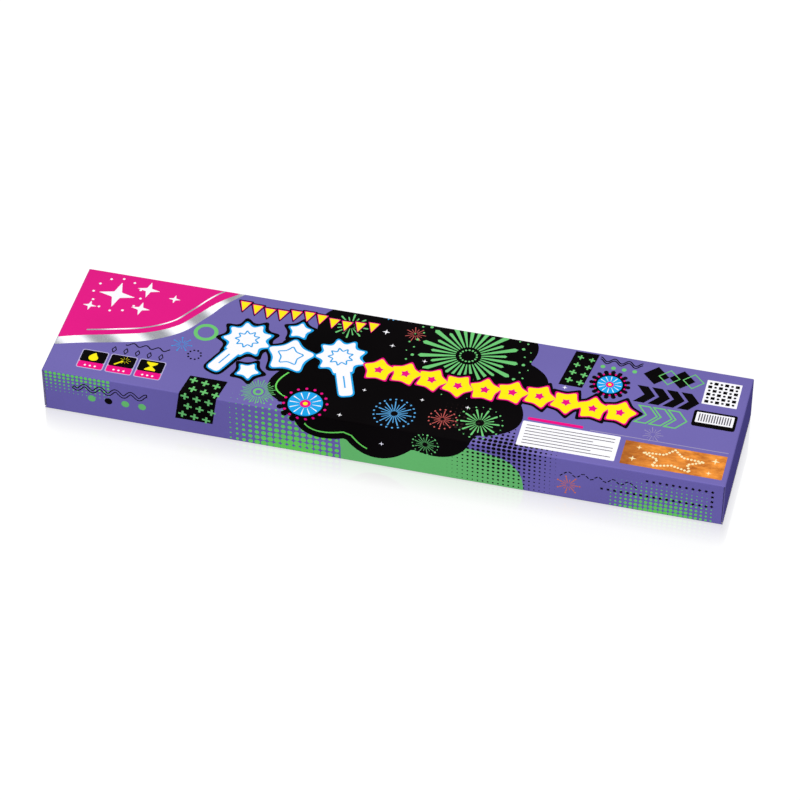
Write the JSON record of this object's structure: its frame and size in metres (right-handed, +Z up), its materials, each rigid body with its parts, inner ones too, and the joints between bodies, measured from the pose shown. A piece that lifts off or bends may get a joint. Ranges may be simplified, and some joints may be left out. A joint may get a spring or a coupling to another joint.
{
  "type": "sparkler carton",
  "caption": "Long flat printed folding carton of handheld sparklers, with tuck flaps at both ends and board sleeves of nested sparklers inside.",
  "frame": {"origin": "centre of the carton's underside", "axes": "+X along the carton towards the end where the bare handles lie, +Y from the front wall to the back wall, +Z up from the surface it lies on"},
  "size_m": [0.375, 0.0856, 0.0285],
  "materials": {
    "printed_board": "satin",
    "sleeve_board": "matte",
    "sparkler_stick": "matte"
  },
  "bodies": {
    "carton": {"carton_tube": "printed_board", "front_sleeve": "sleeve_board", "middle_sleeve": "sleeve_board", "back_sleeve": "sleeve_board", "sparkler_01": "sparkler_stick", "sparkler_02": "sparkler_stick", "sparkler_03": "sparkler_stick", "sparkler_04": "sparkler_stick", "sparkler_05": "sparkler_stick", "sparkler_06": "sparkler_stick", "sparkler_07": "sparkler_stick", "sparkler_08": "sparkler_stick", "sparkler_09": "sparkler_stick", "sparkler_10": "sparkler_stick", "sparkler_11": "sparkler_stick", "sparkler_12": "sparkler_stick", "sparkler_13": "sparkler_stick", "sparkler_14": "sparkler_stick", "sparkler_15": "sparkler_stick", "sparkler_16": "sparkler_stick", "sparkler_17": "sparkler_stick", "sparkler_18": "sparkler_stick", "sparkler_19": "sparkler_stick", "sparkler_20": "sparkler_stick", "sparkler_21": "sparkler_stick", "sparkler_22": "sparkler_stick", "sparkler_23": "sparkler_stick", "sparkler_24": "sparkler_stick", "sparkler_25": "sparkler_stick", "sparkler_26": "sparkler_stick", "sparkler_27": "sparkler_stick", "sparkler_28": "sparkler_stick", "sparkler_29": "sparkler_stick", "sparkler_30": "sparkler_stick"},
    "right_end_panel": {"right_end_panel": "printed_board"},
    "right_tuck_tab": {"right_tuck_tab": "printed_board"},
    "right_front_dust_flap": {"right_front_dust_flap": "printed_board"},
    "right_back_dust_flap": {"right_back_dust_flap": "printed_board"},
    "left_end_panel": {"left_end_panel": "printed_board"},
    "left_tuck_tab": {"left_tuck_tab": "printed_board"},
    "left_front_dust_flap": {"left_front_dust_flap": "printed_board"},
    "left_back_dust_flap": {"left_back_dust_flap": "printed_board"}
  },
  "joints": [
    {"name": "right_end_fold", "type": "hinge", "parent": "carton", "child": "right_end_panel", "pos_m": [0.1875, 0, 0.02851], "axis": [0, -1, 0], "range_deg": [0, 175]},
    {"name": "right_tuck_fold", "type": "hinge", "parent": "right_end_panel", "child": "right_tuck_tab", "pos_m": [0.1875, 0, 0.0008], "axis": [0, -1, 0], "range_deg": [0, 35]},
    {"name": "right_front_dust_fold", "type": "hinge", "parent": "carton", "child": "right_front_dust_flap", "pos_m": [0.1867, -0.04275, 0.014], "axis": [0, 0, -1], "range_deg": [0, 87.5]},
    {"name": "right_back_dust_fold", "type": "hinge", "parent": "carton", "child": "right_back_dust_flap", "pos_m": [0.1867, 0.04275, 0.014], "axis": [0, 0, 1], "range_deg": [0, 87.5]},
    {"name": "left_end_fold", "type": "hinge", "parent": "carton", "child": "left_end_panel", "pos_m": [-0.1875, 0, 0.02851], "axis": [0, 1, 0], "range_deg": [0, 175]},
    {"name": "left_tuck_fold", "type": "hinge", "parent": "left_end_panel", "child": "left_tuck_tab", "pos_m": [-0.1875, 0, 0.0008], "axis": [0, 1, 0], "range_deg": [0, 35]},
    {"name": "left_front_dust_fold", "type": "hinge", "parent": "carton", "child": "left_front_dust_flap", "pos_m": [-0.1867, -0.04275, 0.014], "axis": [0, 0, 1], "range_deg": [0, 87.5]},
    {"name": "left_back_dust_fold", "type": "hinge", "parent": "carton", "child": "left_back_dust_flap", "pos_m": [-0.1867, 0.04275, 0.014], "axis": [0, 0, -1], "range_deg": [0, 87.5]}
  ],
  "couplings": [
    {"joint": "right_tuck_fold", "follows": "right_end_fold", "ratio": 0.2},
    {"joint": "right_front_dust_fold", "follows": "right_end_fold", "ratio": 0.5},
    {"joint": "right_back_dust_fold", "follows": "right_end_fold", "ratio": 0.5},
    {"joint": "left_tuck_fold", "follows": "left_end_fold", "ratio": 0.2},
    {"joint": "left_front_dust_fold", "follows": "left_end_fold", "ratio": 0.5},
    {"joint": "left_back_dust_fold", "follows": "left_end_fold", "ratio": 0.5}
  ]
}
